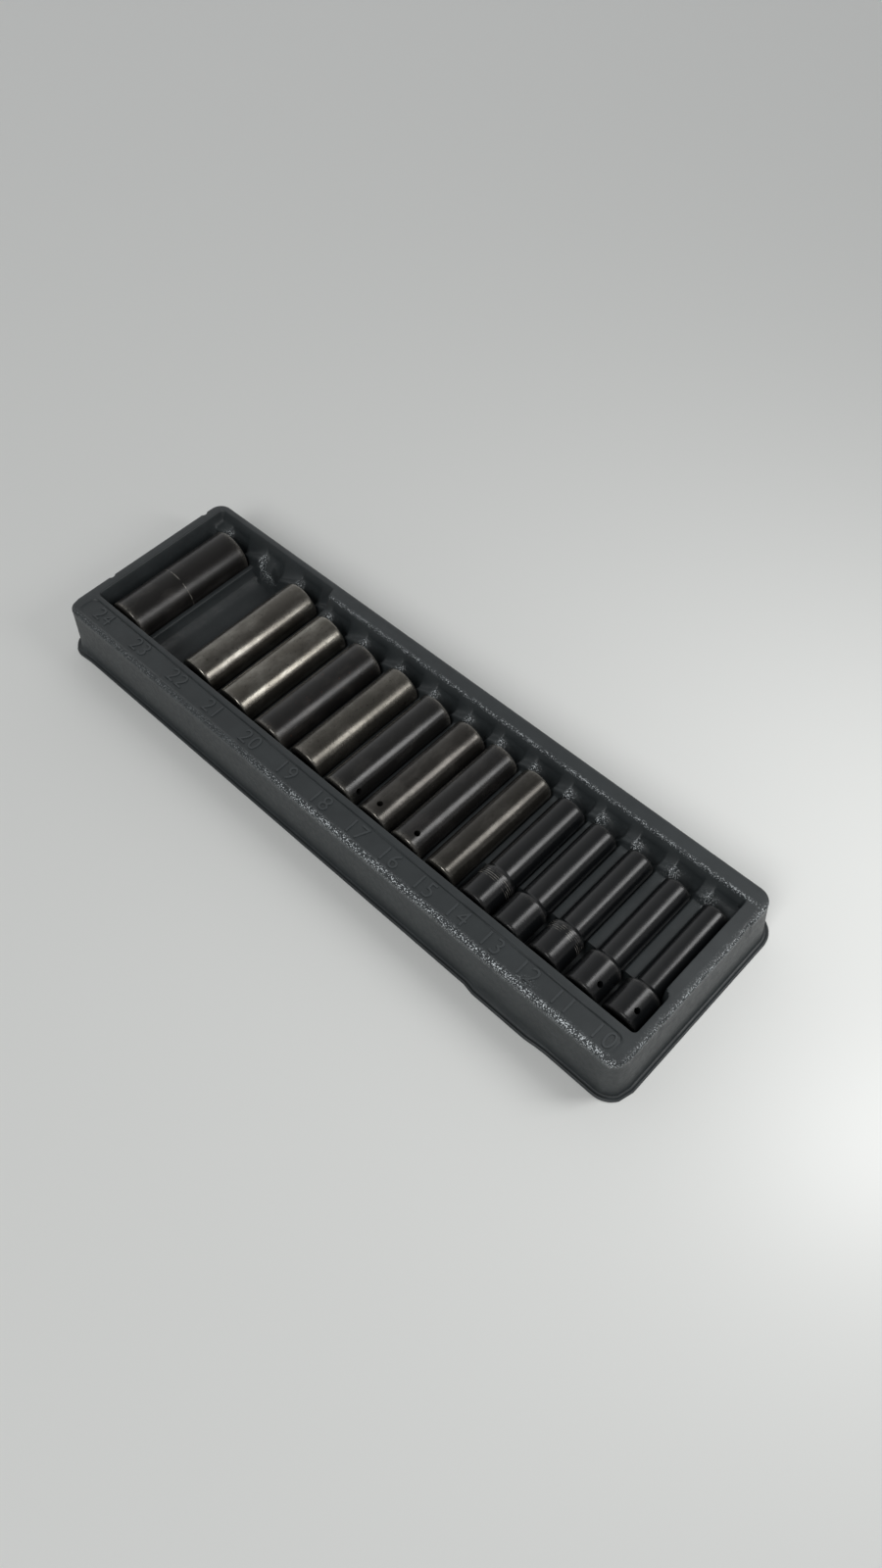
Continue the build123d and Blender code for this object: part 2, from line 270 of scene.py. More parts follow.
depth = trayHigh[2]
outerRun = depth * math.tan(math.radians(form["outerDraft"]))
rimHalf = (trayHigh[:2] - trayLow[:2]) / 2 - form["flangeWidth"] - outerRun
rimCorner = form["outerCorner"] - outerRun
origin = np.array([-rimHalf[0] + form["rimLeft"], -rimHalf[1] + form["rimFront"], depth])
troughRight = 2 * rimHalf[0] - form["rimLeft"] - form["rimRight"]    # opening's right edge by the collars
slimRight = troughRight - form["troughReach"]
backEdge = 2 * rimHalf[1] - form["rimFront"] - form["rimBack"]


def cradleRow(size):
    place = socketPlace(size)
    return dict(size=size, x=place["x"] - origin[0], z=place["z"] - origin[2], r=place["nose"] + form["seat"])


emptyRadius = form["emptyDiameter"] / 2
rows = [cradleRow(size) for size in keptSizes]
rows.append(dict(size=form["emptySize"], x=form["emptyX"], z=-form["emptyBelowRim"] - emptyRadius,
                 r=emptyRadius + form["seat"]))
rows.sort(key=lambda row: row["x"])
ridges = [dict(left=a["x"] + a["r"], right=b["x"] - b["r"],
               top=(a["z"] + b["z"]) / 2 - form["ridgeBelowAxis"]) for a, b in zip(rows, rows[1:])]


def drop(inside, radius, degrees):
    # Depth under the top at a distance inside a rounded edge: 0, then r - sqrt(r^2 - (d + r)^2),
    # then r + d / tan(a)
    bend = np.clip(inside + radius, 0, radius)
    return radius - np.sqrt(radius ** 2 - bend ** 2) + np.maximum(inside, 0) / np.tan(np.radians(degrees))


def fillet(first, second, width):
    # Fills the crease between two faces by (w - |a - b|)^2 / 4w, where they are less than w apart
    return np.maximum(width - np.abs(first - second), 0) ** 2 / (4 * width)


def roundedInside(x, y, left, right, front, back, corner):
    # Distance inside a rounded rectangle, negative outside it
    across = np.maximum(np.maximum(left + corner - x, x - right + corner), 0)
    deep = np.maximum(np.maximum(front + corner - y, y - back + corner), 0)
    outside = np.hypot(across, deep)
    within = np.minimum(np.minimum(x - left, right - x), np.minimum(y - front, back - y))
    return np.where(outside > 0, corner - outside, within)


def backStepAt(x):
    return form["backStep"] * (1 - smoothStep(form["backStepFrom"], form["backStepTo"], x))


def cradleEndAt(x):
    return backEdge - form["cradleEnd"] + backStepAt(x)


def fromCradle(x):
    # Distance to the right of the nearest cradle's middle, negative on its left
    offset = np.array([x - row["x"] for row in rows])
    return np.take_along_axis(offset, np.argmin(np.abs(offset), axis=0)[None], 0)[0]


def slotInside(x, y):
    # Distance inside the nearest of the narrow slots that run on behind the noses
    return np.minimum(form["slotRadius"] - np.abs(fromCradle(x)), cradleEndAt(x) + form["slotLength"] - y)


def slotDrop(x, y):
    # Fall inside a slot: steep on its left, slanted on its right and at its far end
    middle, edge = fromCradle(x), form["slotEdge"]
    slope = np.where(middle > 0, form["slotSlant"], form["steep"])
    side = drop(form["slotRadius"] - np.abs(middle), edge, slope)
    return np.minimum(side, drop(cradleEndAt(x) + form["slotLength"] - y, edge, form["slotEndSlant"]))


def openingWalls(x, y):
    # The highest wall at each place, as a height; in the corners the slopes turn round a vertical axis
    reach = 1 - smoothStep(form["troughReachFrom"], form["troughReachTo"], y)
    rightEdge = slimRight + form["troughReach"] * reach
    corner, radius, steep = form["openingCorner"], form["openingEdge"], form["steep"]
    left, right, front, rear = x, rightEdge - x, y, backEdge + backStepAt(x) - y
    backWall = drop(rear, radius, form["backSlope"]) + farDown * (rear > form["cradleEnd"]) + slotDrop(x, y)
    straight = np.minimum.reduce((drop(left, radius, form["leftSlope"]), drop(right, radius, steep),
                                  drop(front, radius, steep), backWall))
    nearX, nearY = np.minimum(left, right), np.minimum(front, rear)
    cx, cy = np.maximum(corner - nearX, 0), np.maximum(corner - nearY, 0)
    inside = corner - np.hypot(cx, cy)
    slopeX = np.where(left < right, form["leftSlope"], steep)
    slopeY = np.where(front < rear, steep, form["backSlope"])
    share = cy ** 2 / np.maximum(cx ** 2 + cy ** 2, 1e-9)
    slope = np.tan(np.radians(slopeX)) * (1 - share) + np.tan(np.radians(slopeY)) * share
    bend = np.clip(inside + radius, 0, radius)
    turned = radius - np.sqrt(radius ** 2 - bend ** 2) + np.maximum(inside, 0) / slope
    return -np.where((cx > 0) & (cy > 0), turned, straight)


def cradles(x, y):
    # Round floors under the bodies, ridges between them, and the common trough under the collars
    floor = np.full_like(x, aboveRidges)
    for row in rows:
        half = row["r"] ** 2 - (x - row["x"]) ** 2
        floor = np.where(half > 0, row["z"] - np.sqrt(np.maximum(half, 0)), floor)
    limit = np.full_like(x, rows[0]["z"])
    limit = np.where(x > rows[-1]["x"], rows[-1]["z"], limit)
    edge = form["ridgeEdge"]
    for ridge, a, b in zip(ridges, rows, rows[1:]):
        within = np.minimum(x - ridge["left"], ridge["right"] - x)
        fall = edge - np.sqrt(edge ** 2 - np.clip(edge - within, 0, edge) ** 2)
        limit = np.where((x > a["x"]) & (x <= b["x"]), ridge["top"] - fall, limit)
    floor = np.minimum(floor, limit)
    collared = [row for row in rows if row["size"] in socketShape["slimDiameter"]]
    margin = form["troughMargin"]
    inside = roundedInside(x, y, collared[0]["x"] - margin, collared[-1]["x"] + margin, form["troughFront"],
                           form["troughEnd"], form["troughCorner"])
    trough = form["troughFloor"] + np.maximum(-inside, 0) / math.tan(math.radians(form["steep"]))
    return np.minimum(floor, trough) - fillet(floor, trough, form["troughFillet"])


def backForms(x, y):
    # Lugs between the slots, highest beside the next slot, and the slots' round floors. Both end at the
    # cradles.
    front = cradleEndAt(x) - y
    lean = np.zeros_like(x)
    for a, b in zip(rows, rows[1:]):
        between = (x > a["x"]) & (x <= b["x"])
        toSlot = np.maximum(b["x"] - form["slotRadius"] - form["slotEdge"] - x, 0)
        lean = np.where(between, form["lugLean"] * toSlot, lean)
    lug = -form["lugBelowRim"] - lean - drop(front, form["lugEdge"], form["lugFrontSlope"]) - slotDrop(x, y)
    floor = np.full_like(x, -farDown)
    for row in rows:
        half = form["slotRadius"] ** 2 - (x - row["x"]) ** 2
        floor = np.where(half > 0, row["z"] - np.sqrt(np.maximum(half, 0)), floor)
    return np.maximum(lug, floor - drop(front, form["slotEdge"], form["lugFrontSlope"]))


def rimTop(x, y):
    # The rim with its sunk band for the numbers and the slanted groove at the band's back
    bandBack = form["bandBack"] + form["bandSlant"] * x
    band = roundedInside(x, y, form["bandLeft"], troughRight + form["bandRightOfTrough"], form["bandFront"],
                         bandBack, form["bandCorner"])
    groove = form["grooveDepth"] * np.exp(-((band - form["grooveInset"]) / form["grooveWidth"]) ** 2)
    groove *= y > bandBack - form["grooveReach"]
    return -form["bandDepth"] * smoothStep(-form["bandEdge"], form["bandEdge"], band) - groove


def trayTop(x, y):
    # Height of the sheet's upper face over the rim's level, at or below 0 everywhere
    floor, forms, walls = cradles(x, y), backForms(x, y), openingWalls(x, y)
    forms = np.maximum(floor, forms) + fillet(floor, forms, form["lugFoot"])
    end = backEdge - form["cradleEnd"]
    merge = fillet(forms, walls, form["lugFillet"]) * (walls < -form["lugFilletBelow"])
    merge *= smoothStep(end + form["lugFilletFrom"], end + form["lugFilletFull"], y)
    height = np.maximum(forms, walls) + merge
    outside = walls > -1e-6
    height = np.where(outside, rimTop(x, y), np.minimum(height, 0))
    edge = roundedInside(x, y, -form["rimLeft"], 2 * rimHalf[0] - form["rimLeft"], -form["rimFront"],
                         2 * rimHalf[1] - form["rimFront"], rimCorner)
    radius = form["edgeRadius"]
    inset = np.clip(radius - edge, 0, radius)
    return np.where(outside, height - radius + np.sqrt(radius ** 2 - inset ** 2), height)


def gridLines(groups):
    lines = np.unique(np.round(np.concatenate([np.atleast_1d(group) for group in groups]), 3))
    return lines[np.concatenate([[True], np.diff(lines) > leastGap])]


def trayGrid():
    plan = {name: np.array(places) for name, places in gridPlan.items()}
    bend, margin = plan["bend"], plan["backStepMargin"]
    xs = [plan["leftRim"], bend, plan["leftWall"], slimRight - bend, troughRight - bend,
          troughRight + plan["rightRim"], troughRight - plan["rightWall"],
          np.linspace(form["backStepFrom"] - margin, form["backStepTo"] + margin, 6)]
    for row in rows:
        xs.append(row["x"] + row["r"] * np.sin(np.radians(plan["cradle"])))
        if row["size"] == form["emptySize"]:
            xs.append(row["x"] + row["r"] * np.sin(np.radians(plan["emptyCradle"])))
        for side in (-1, 1):
            xs.append(row["x"] + side * (form["slotRadius"] + plan["slot"]))
    for ridge in ridges:
        reach = np.minimum(plan["ridge"], (ridge["right"] - ridge["left"]) / 2)
        xs += [ridge["left"] + reach, ridge["right"] - reach]
    ys = [plan["frontRim"], form["bandFront"] + plan["bandFront"], form["bandBack"] + plan["bandBack"], bend,
          plan["trough"], plan["troughEnd"], plan["bodies"], plan["backWall"]]
    for back in (backEdge, backEdge + form["backStep"]):
        end = back - form["cradleEnd"]
        ys += [back - bend, end + plan["cradleEnd"], end + form["slotLength"] + plan["slotEnd"]]
    ys.append(backEdge + form["backStep"] + plan["backRim"])
    return gridLines(xs), gridLines(ys)


def skirtProfile():
    # Out from the rim's outline and up from the rim's level, in two lists: over the rim's edge, down the
    # outside and round the flange, then up the inside
    radius, flange, wall = form["edgeRadius"], form["flangeWidth"], form["wall"]
    edge, foot, bottom = form["flangeEdge"], form["flangeFoot"], -depth
    tangent = math.tan(math.radians(form["outerDraft"]))
    rimBends = np.radians(form["rimBends"])
    outer = [(-radius + radius * math.sin(bend), -radius + radius * math.cos(bend)) for bend in rimBends]
    outer += [(form["skirtOffset"] + tangent * (down - form["skirtFrom"]), -down)
              for down in form["skirtLevels"]]
    outer += [(outerRun + out, bottom + wall + up) for out, up in form["footFillet"]]
    outer += [(outerRun + flange * share, bottom + wall + up) for share, up in form["flangeBead"]]
    outer += [(outerRun + flange - edge, bottom + wall), (outerRun + flange, bottom + wall - edge),
              (outerRun + flange, bottom + foot), (outerRun + flange - foot, bottom)]
    inner = [(outerRun - wall + out, bottom + up) for out, up in form["innerSkirt"]]
    inner += [(-wall + out, up) for out, up in form["innerRim"]]
    return outer, inner


def skirtRings(border):
    # Each border point goes straight out to the rim's rounded outline, c + (r + out) n, then down
    centre = np.array([rimHalf[0] - form["rimLeft"], rimHalf[1] - form["rimFront"]])
    core = rimHalf - rimCorner
    away = border[:, :2] - centre
    anchor = np.clip(away, -core, core)
    normal = away - anchor
    normal /= np.linalg.norm(normal, axis=1)[:, None]
    anchor += centre
    x, y = border[:, 0], border[:, 1]

    frontSide = (away[:, 1] < -core[1]) & (np.abs(away[:, 0]) < core[0] + form["frontPastCore"])
    crack, crackHalf, ends = form["crackAt"], form["crackHalf"], form["springEndsAt"]
    spring = form["flangeSpring"] * smoothStep(crack - crackHalf, crack + crackHalf, x)
    spring *= 1 - smoothStep(ends - form["springFall"], ends, x)
    spring += form["cornerBulge"] * np.exp(-((x - form["bulgeAt"]) / form["bulgeReach"]) ** 2)
    notchPull = np.zeros(len(border))
    for side, at in form["notches"]:
        near = (np.sign(away[:, 0]) == side) & (np.abs(away[:, 0]) > core[0])
        notchPull += near * np.clip(1 - (np.abs(y - at) / (form["notchWidth"] / 2)) ** 2, 0, 1)

    rings = []
    outer, inner = skirtProfile()
    springFrom, springTo = depth - form["springHeight"], depth - form["wall"]
    for number, (out, height) in enumerate(outer + inner):
        fade = np.clip(1 - (-height - form["notchTop"]) / form["notchHeight"], 0, 1) * (number < len(outer))
        pull = form["notchDepth"] * notchPull * fade
        place = anchor + normal * (rimCorner + out - pull)[:, None]
        place[:, 1] -= spring * frontSide * smoothStep(springFrom, springTo, -height)
        rings.append(np.column_stack([place, np.full(len(border), height)]))
    return rings


def trayMesh():
    # The upper face on a grid, the skirt's rings from its border, and an under face that lies at least a
    # wall below every upper point within a wall's reach
    xs, ys = trayGrid()
    x, y = np.meshgrid(xs, ys, indexing="ij")
    wall = form["wall"]
    top = trayTop(x, y)
    shifts = [(a * wall, b * wall) for a in (-1, 0, 1) for b in (-1, 0, 1)]
    under = np.minimum.reduce([trayTop(x + a, y + b) for a, b in shifts])
    under = np.minimum(under, top - wall)
    topPoints, underPoints = (np.stack([x, y, height], -1).reshape(-1, 3) for height in (top, under))
    columns, lines = x.shape
    index = np.arange(columns * lines).reshape(columns, lines)
    loop = np.concatenate([index[:, 0], index[-1, 1:], index[-2::-1, -1], index[0, -2:0:-1]])
    rings = skirtRings(topPoints[loop])
    ringPoints = np.concatenate(rings)
    points = np.concatenate([topPoints, ringPoints, underPoints]) + origin
    count, start = len(loop), len(topPoints)
    loops = [loop] + [start + number * count + np.arange(count) for number in range(len(rings))]
    loops += [start + len(ringPoints) + loop]
    faces = [np.stack([index[:-1, :-1], index[1:, :-1], index[1:, 1:], index[:-1, 1:]], -1).reshape(-1, 4)]
    for near, far in zip(loops, loops[1:]):
        faces.append(np.stack([near, far, np.roll(far, -1), np.roll(near, -1)], -1))
    lower = index + start + len(ringPoints)
    lowerFaces = np.stack([lower[:-1, :-1], lower[:-1, 1:], lower[1:, 1:], lower[1:, :-1]], -1)
    faces.append(lowerFaces.reshape(-1, 4))
    piece = makeMesh("formedTray", points, np.concatenate(faces), form["smoothBelow"])
    triangles = len(piece.data.polygons) * 2
    print("tray:", columns, "x", lines, "lines,", triangles, "triangles, volume", round(signedVolume(piece)))
    return piece


# Painted highlights along the lit edges of the rim, the lugs and the slot shelves, plus one real scratch:
# where each streak lies, how wide it is and how strong
paintedGlintAndScratchLook = dict(
    front=dict(inset=1.5, width=1.8, below=3, least=0.2, growsFrom=150, growsTo=260),
    right=dict(inset=0.8, width=1.0, below=3, strength=0.6),
    back=dict(behind=0.4, width=0.7, below=2, strength=0.6),
    slot=dict(width=1.3, startsAt=-1.5, fullAt=-0.5, fadesFrom=5, fadesTo=8),
    shelf=dict(behind=0.3, width=0.6, outside=1, right=6, below=24, strength=0.9),
    scratch=dict(x=407, y=-16.4, length=3, width=0.6),
)


def streak(distance, width):
    # 1 on the line, falling off as exp(-(d / w)^2)
    return np.exp(-(distance / width) ** 2)


def markTray(piece):
    # Painted highlights: where the sheet's rounded edges, the lugs' sides and the slot shelves catch the
    # light, the colour is mixed toward a pale speckled tone. The same attribute also draws one real white
    # scratch on the front rim
    look = paintedGlintAndScratchLook
    x, y, z = (readPoints(piece) - origin).T
    part = look["front"]
    grows = part["least"] + (1 - part["least"]) * smoothStep(part["growsFrom"], part["growsTo"], x)
    front = streak(y + form["rimFront"] - part["inset"], part["width"]) * (z > -part["below"]) * grows
    part = look["right"]
    right = streak(x - 2 * rimHalf[0] + form["rimLeft"] + part["inset"], part["width"])
    right *= (z > -part["below"]) * part["strength"]
    part = look["back"]
    back = streak(y - backEdge - part["behind"], part["width"]) * (z > -part["below"])
    back *= (x > form["backStepTo"]) * part["strength"]
    within, middle, beyond = slotInside(x, y), fromCradle(x), y - cradleEndAt(x)
    part = look["slot"]
    slot = streak(within, part["width"]) * (middle < 0) * smoothStep(part["startsAt"], part["fullAt"], beyond)
    slot *= 1 - smoothStep(part["fadesFrom"], part["fadesTo"], beyond)
    part = look["shelf"]
    shelf = streak(beyond - part["behind"], part["width"]) * (within > -part["outside"]) * part["strength"]
    shelf *= (middle < part["right"]) * (z > -part["below"])
    lugs = np.maximum(slot, shelf) * (x > 0) * (x < slimRight)
    part = look["scratch"]
    scratch = streak(x - part["x"], part["length"]) * streak(y - part["y"], part["width"])
    setAttribute(piece, "paintedGlintAndScratch", np.clip(front + right + back + lugs + scratch, 0, 1))


tray = trayMesh()
markTray(tray)

# Numbers

numberLook = dict(
    height=10.6, capitalShare=0.72, raised=0.42, thin=-0.18, edge=0.12, spacing=1.12, curveSteps=5,
    # Share of the paler number colour: a painted highlight for the light on the raised strokes
    rubWearAndPaintedHighlight=0.24,
    place={24: (20, -10.5), 23: (60, -10.5), 22: (99.5, -10.6), 21: (136, -11.2), 20: (172.5, -11.2),
           19: (206.5, -11.4), 18: (238, -12), 17: (269, -12), 16: (297, -12), 15: (325, -12),
           14: (351, -12), 13: (377, -12), 12: (403, -12), 11: (428, -12), 10: (456, -12)},
)


def numberMesh(size):
    look = numberLook
    text = bpy.data.curves.new(f"number{size}", "FONT")
    text.body = str(size)
    text.align_x, text.align_y = "CENTER", "CENTER"
    text.size = look["height"] / look["capitalShare"] * mm
    text.offset = look["thin"] * mm
    text.extrude = look["raised"] * mm
    text.bevel_depth = look["edge"] * mm
    text.bevel_resolution = 1
    text.space_character = look["spacing"]
    text.resolution_u = look["curveSteps"]
    letter = bpy.data.objects.new(f"letter{size}", text)
    bpy.context.scene.collection.objects.link(letter)
    bpy.context.view_layer.update()
    mesh = bpy.data.meshes.new_from_object(letter.evaluated_get(bpy.context.evaluated_depsgraph_get()))
    bpy.data.objects.remove(letter)
    x, y = look["place"][size]
    mesh.transform(Matrix.Translation(Vector((origin + (x, y, -form["bandDepth"])) * mm)))
    mesh.name = f"number{size}"
    piece = bpy.data.objects.new(f"number{size}", mesh)
    bpy.context.scene.collection.objects.link(piece)
    # The paler tone on the numbers is a painted highlight for the light on their raised strokes
    setAttribute(piece, "raised", np.full(len(mesh.vertices), look["rubWearAndPaintedHighlight"]))
    return piece


numbers = [numberMesh(size) for size in numberLook["place"]]
print("numbers made:", len(numbers))


# Materials. Noise scales are per metre.

class Nodes:
    # Node tree of a material or of the world. A value is a number, a colour or another node's output.
    def __init__(self, owner):
        owner.use_nodes = True
        self.owner, self.tree = owner, owner.node_tree
        self.shader = self.tree.nodes.get("Principled BSDF")

    def add(self, kind, inputs=None, **settings):
        node = self.tree.nodes.new(kind)
        for key, value in settings.items():
            setattr(node, key, value)
        for key, value in (inputs or {}).items():
            self.plug(node.inputs[key], value)
        return node

    def plug(self, socket, value):
        if isinstance(value, bpy.types.NodeSocket):
            self.tree.links.new(value, socket)
        else:
            socket.default_value = value

    def noise(self, scale, detail=3, rough=0.55, stretch=None):
        place = self.add("ShaderNodeTexCoord").outputs["Object"]
        if stretch:
            place = self.add("ShaderNodeMapping", {"Vector": place, "Scale": stretch}).outputs[0]
        return self.add("ShaderNodeTexNoise", {"Vector": place, "Scale": scale, "Detail": detail,
                                               "Roughness": rough}).outputs["Fac"]

    def spread(self, value, low, high, toLow=0.0, toHigh=1.0):
        return self.add("ShaderNodeMapRange", {"Value": value, "From Min": low, "From Max": high,
                                               "To Min": toLow, "To Max": toHigh}).outputs["Result"]

    def calc(self, operation, a, b=0.0, c=0.0):
        return self.add("ShaderNodeMath", {0: a, 1: b, 2: c}, operation=operation).outputs[0]

    def times(self, a, b):
        # Product of two shares, kept between 0 and 1
        return self.add("ShaderNodeMath", {0: a, 1: b}, operation="MULTIPLY", use_clamp=True).outputs[0]

    def mix(self, share, a, b):
        node = self.add("ShaderNodeMix", data_type="RGBA")
        self.plug(node.inputs[0], share)
        self.plug(node.inputs[6], a if isinstance(a, bpy.types.NodeSocket) else (*a, 1))
        self.plug(node.inputs[7], b if isinstance(b, bpy.types.NodeSocket) else (*b, 1))
        return node.outputs[2]

    def value(self, name):
        return self.add("ShaderNodeAttribute", attribute_name=name).outputs["Fac"]

    def bump(self, height, strength, distance):
        inputs = {"Height": height, "Strength": strength, "Distance": distance}
        return self.add("ShaderNodeBump", inputs).outputs[0]


# Besides the sheet's own tones, there are two painted colours: a pale speck colour for the painted highlights
# on lit edges, which is also the white of one real scratch, and a paler tone for the numbers, which is a
# painted highlight on their raised strokes
plasticLook = dict(
    colour=(0.020, 0.0245, 0.0262), pale=(0.027, 0.0325, 0.0345), paleScale=60,
    raised=(0.085, 0.095, 0.10), rough=(0.41, 0.53), roughScale=300, gloss=0.55,
    grainScale=1900, grainDepth=0.00013, paintedGlintAndScratchColour=(0.62, 0.66, 0.68), paintedGlintSpeckScale=1300,
)


def plasticMaterial():
    look, n = plasticLook, Nodes(bpy.data.materials.new("slateSheet"))
    mottled = n.spread(n.noise(look["paleScale"], 4), 0.35, 0.7)
    specks = n.spread(n.noise(look["paintedGlintSpeckScale"], 1, 0.3), 0.56, 0.62)
    # Painted highlight: the pale speck colour is mixed in where the edges catch the light, and the same mix
    # draws the real scratch
    paintedGlintAndScratchShare = n.times(specks, n.value("paintedGlintAndScratch"))
    colour = n.mix(mottled, look["colour"], look["pale"])
    # Painted highlight: the numbers' paler tone stands in for the light catching their raised strokes
    colour = n.mix(n.value("raised"), colour, look["raised"])
    n.plug(n.shader.inputs["Base Color"], n.mix(paintedGlintAndScratchShare, colour, look["paintedGlintAndScratchColour"]))
    n.plug(n.shader.inputs["Roughness"], n.spread(n.noise(look["roughScale"], 3), 0.3, 0.7, *look["rough"]))
    n.plug(n.shader.inputs["Specular IOR Level"], look["gloss"])
    n.plug(n.shader.inputs["Normal"], n.bump(n.noise(look["grainScale"], 2), 0.8, look["grainDepth"]))
    return n.owner


# Every socket's values, where the table below doesn't give others. bare: colour of the rubbed edges.
steelLook = dict(
    pits=0.75, pitColour=(0.010, 0.009, 0.008), rub=1.0, bare=(0.40, 0.38, 0.34),
    rustColour=(0.10, 0.035, 0.018), rustStrength=0.8, ringColour=(0.20, 0.19, 0.17),
    ripple=0.10, rippleDepth=0.00005, gloss=0.5,
    patchScale=70, scuffScale=520, pitScale=430, rustScale=230, rubScale=700, ringScale=240, roughScale=120,
    rippleScale=260,
)
slimLook = dict(colour=(0.0040, 0.0046, 0.0052), worn=(0.010, 0.011, 0.012), share=0.15, rough=0.24, rust=0.0,
                metal=0.0, rub=0.35, bare=(0.16, 0.155, 0.15), ripple=0.0, gloss=0.38, pits=0.3)
socketLook = {
    # worn: colour where the coating has gone, on that share of the surface. metal: 0 coated, 1 bare.
    24: dict(colour=(0.012, 0.0108, 0.0100), worn=(0.040, 0.037, 0.034),
             share=0.35, rough=0.30, rust=0.00, metal=0.3),
    22: dict(colour=(0.110, 0.103, 0.090), worn=(0.230, 0.220, 0.196),
             share=0.45, rough=0.23, rust=0.03, metal=0.9),
    21: dict(colour=(0.120, 0.112, 0.096), worn=(0.250, 0.240, 0.212),
             share=0.50, rough=0.23, rust=0.03, metal=0.9),
    20: dict(colour=(0.013, 0.0122, 0.0118), worn=(0.042, 0.038, 0.034),
             share=0.35, rough=0.28, rust=0.12, metal=0.3),
    19: dict(colour=(0.075, 0.070, 0.060), worn=(0.150, 0.140, 0.122),
             share=0.50, rough=0.26, rust=0.05, metal=0.8),
    18: dict(colour=(0.013, 0.0127, 0.0123), worn=(0.040, 0.038, 0.036),
             share=0.25, rough=0.23, rust=0.01, metal=0.3),
    17: dict(colour=(0.040, 0.037, 0.033), worn=(0.095, 0.089, 0.080),
             share=0.45, rough=0.24, rust=0.08, metal=0.7),
    16: dict(colour=(0.011, 0.0106, 0.0102), worn=(0.038, 0.035, 0.033),
             share=0.35, rough=0.25, rust=0.03, metal=0.3),
    15: dict(colour=(0.040, 0.037, 0.032), worn=(0.098, 0.092, 0.082),
             share=0.40, rough=0.23, rust=0.02, metal=0.7),
    **{size: slimLook for size in socketShape["slimDiameter"]},
}
# Scratched rings: from, to and pitch, from the drive end
scratchedRings = {24: (42.5, 45.5, 3.0), 14: (15.5, 21.0, 1.35), 12: (16.0, 21.2, 1.3)}


def ringLines(n, size, scale):
    start, end, pitch = scratchedRings[size]
    half = (end - start) / 2
    y = n.calc("MULTIPLY_ADD", n.value("along"), socketPlace(size)["length"], -start)
    inside = n.calc("COMPARE", y, half, half)
    wave = n.calc("SINE", n.calc("MULTIPLY", y, 2 * math.pi / pitch))
    lines = n.times(n.spread(wave, 0.55, 0.95), n.spread(n.noise(scale, 3, 0.6), 0.40, 0.60))
    return n.times(lines, inside)


def steelMaterial(size):
    # The size is added to some noise scales, so that no two sockets are worn alike
    look, n = {**steelLook, **socketLook[size]}, Nodes(bpy.data.materials.new(f"socketSteel{size}"))
    share, rough = look["share"], look["rough"]
    patches = n.noise(look["patchScale"] + size, 4, 0.6, (1, 0.5, 1))
    patches = n.spread(patches, 0.64 - share * 0.4, 0.84 - share * 0.3)
    scuffs = n.spread(n.noise(look["scuffScale"], 4, 0.65, (1, 0.3, 1)), 0.2, 0.8, 0.35, 1.0)
    colour = n.mix(n.times(patches, scuffs), look["colour"], look["worn"])
    pits = n.spread(n.noise(look["pitScale"] + 5 * size, 3, 0.75), 0.60, 0.68, 0.0, look["pits"])
    colour = n.mix(pits, colour, look["pitColour"])
    rust = n.noise(look["rustScale"] + 3 * size, 4, 0.7)
    rust = n.spread(rust, 0.76 - look["rust"], 0.82 - look["rust"] * 0.6)
    rust = n.times(rust, look["rustStrength"] if look["rust"] > 0 else 0.0)
    colour = n.mix(rust, colour, look["rustColour"])
    # Real wear: the coating rubbed through to bare steel along the outer edges
    rubWearAndPaintedHighlight = n.spread(n.noise(look["rubScale"], 3, 0.7), 0.30, 0.70, 0.0, look["rub"])
    rubWearAndPaintedHighlight = n.times(n.value("wear"), rubWearAndPaintedHighlight)
    colour = n.mix(rubWearAndPaintedHighlight, colour, look["bare"])
    metal = n.times(n.spread(rust, 0, 1, 1.0, 0.1), n.spread(rubWearAndPaintedHighlight, 0, 1, look["metal"], 1.0))
    if size in scratchedRings:
        colour = n.mix(ringLines(n, size, look["ringScale"]), colour, look["ringColour"])
    roughness = n.spread(n.noise(look["roughScale"], 3, 0.6), 0.3, 0.7, rough - 0.01, rough + 0.04)
    ripples = n.bump(n.noise(look["rippleScale"], 2, 0.5), look["ripple"], look["rippleDepth"])
    n.plug(n.shader.inputs["Base Color"], colour)
    n.plug(n.shader.inputs["Metallic"], metal)
    n.plug(n.shader.inputs["Roughness"], roughness)
    n.plug(n.shader.inputs["Specular IOR Level"], look["gloss"])
    n.plug(n.shader.inputs["Normal"], ripples)
    return n.owner


def paint(piece, material, body):
    piece.data.materials.clear()
    piece.data.materials.append(material)
    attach(piece, body)


sheet = plasticMaterial()
paint(tray, sheet, "tray")
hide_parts("tray")
for number in numbers:
    paint(number, sheet, "tray")
for size, piece in sockets.items():
    node = f"socket_{size}"
    paint(piece, steelMaterial(size), node)
    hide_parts(node)
print("materials set")

# Floor, lights, world and camera, in metres

stageLook = dict(
    floor=(0.83, 0.84, 0.82), floorRough=0.35, floorSize=8,
    air=(0.98, 0.99, 1.0), zenith=0.17, horizon=0.50, towards=(-0.70, 0.62, 0.35), brighter=0.45,
    key=dict(place=(0.7, -2.2, 2.5), aim=(0, 0, 0), size=(1.4, 1.4), power=38),
    lamp=dict(place=(0.39, 0.20, 0.40), aim=(0.13, 0.0, 0.03), size=(0.12, 0.26), power=0.88),
)
cameraLook = dict(azimuth=47.32, elevation=55.63, roll=-4.02, distance=0.70341,
                  target=(0.05005, -0.00193, 0.038), lens=26.89, film=36.0, near=0.01)


def makeFloor():
    bpy.ops.mesh.primitive_plane_add(size=stageLook["floorSize"])
    floor = bpy.context.object
    floor.name = "floor"
    n = Nodes(bpy.data.materials.new("paleDesk"))
    n.plug(n.shader.inputs["Base Color"], (*stageLook["floor"], 1))
    n.plug(n.shader.inputs["Roughness"], stageLook["floorRough"])
    floor.data.materials.append(n.owner)


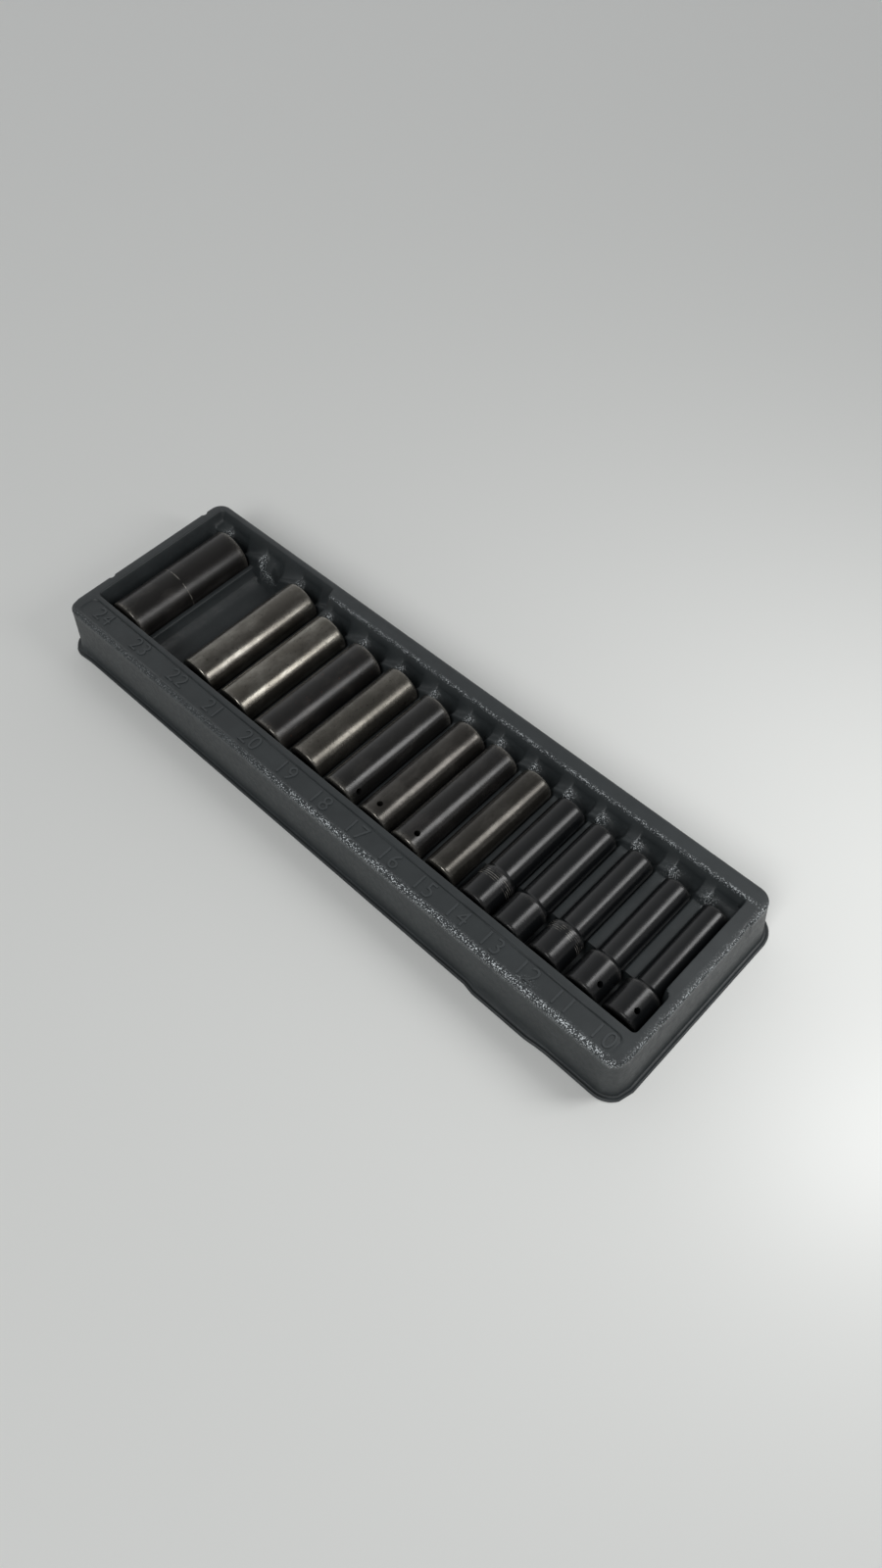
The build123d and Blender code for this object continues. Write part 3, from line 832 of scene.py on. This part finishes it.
def makeLight(name, look):
    light = bpy.data.lights.new(name, "AREA")
    light.shape = "RECTANGLE"
    light.size, light.size_y = look["size"]
    light.energy = look["power"]
    lamp = bpy.data.objects.new(name, light)
    bpy.context.scene.collection.objects.link(lamp)
    lamp.location = look["place"]
    lamp.rotation_euler = (Vector(look["aim"]) - lamp.location).to_track_quat("-Z", "Y").to_euler()
    lamp.visible_camera = False


def makeCamera():
    look = cameraLook
    azimuth, elevation, roll = (math.radians(look[key]) for key in ("azimuth", "elevation", "roll"))
    back = Vector((math.sin(azimuth) * math.cos(elevation), -math.cos(azimuth) * math.cos(elevation),
                   math.sin(elevation)))
    right = (-back).cross(Vector((0, 0, 1))).normalized()
    up = right.cross(-back)
    turnedRight = math.cos(roll) * right + math.sin(roll) * up
    turnedUp = -math.sin(roll) * right + math.cos(roll) * up
    lens = bpy.data.cameras.new("camera")
    lens.sensor_fit, lens.sensor_height, lens.lens = "VERTICAL", look["film"], look["lens"]
    lens.clip_start = look["near"]
    camera = bpy.data.objects.new("camera", lens)
    bpy.context.scene.collection.objects.link(camera)
    camera.matrix_world = Matrix((turnedRight, turnedUp, back)).transposed().to_4x4()
    camera.location = Vector(look["target"]) + look["distance"] * back
    bpy.context.scene.camera = camera


def makeWorld():
    # strength = zenith + horizon (1 - z)^2 + brighter (d . towards)^2, with z and the product at least 0
    look, world = stageLook, bpy.data.worlds.new("room")
    bpy.context.scene.world = world
    n = Nodes(world)
    place = n.add("ShaderNodeTexCoord").outputs["Generated"]
    height = n.add("ShaderNodeSeparateXYZ", {0: place}).outputs["Z"]
    facing = n.add("ShaderNodeVectorMath", {0: place, 1: look["towards"]}, operation="DOT_PRODUCT")
    low = n.calc("SUBTRACT", 1.0, n.calc("MAXIMUM", height, 0.0))
    level = n.calc("MULTIPLY_ADD", n.calc("MULTIPLY", low, low), look["horizon"], look["zenith"])
    side = n.calc("MAXIMUM", facing.outputs["Value"], 0.0)
    level = n.calc("ADD", level, n.calc("MULTIPLY", n.calc("MULTIPLY", side, side), look["brighter"]))
    background = n.tree.nodes["Background"]
    n.plug(background.inputs["Color"], (*look["air"], 1))
    n.plug(background.inputs["Strength"], level)


makeFloor()
makeLight("key", stageLook["key"])
makeLight("lamp", stageLook["lamp"])
makeCamera()
makeWorld()
bpy.context.scene.view_settings.view_transform = "Standard"
print("stage set")
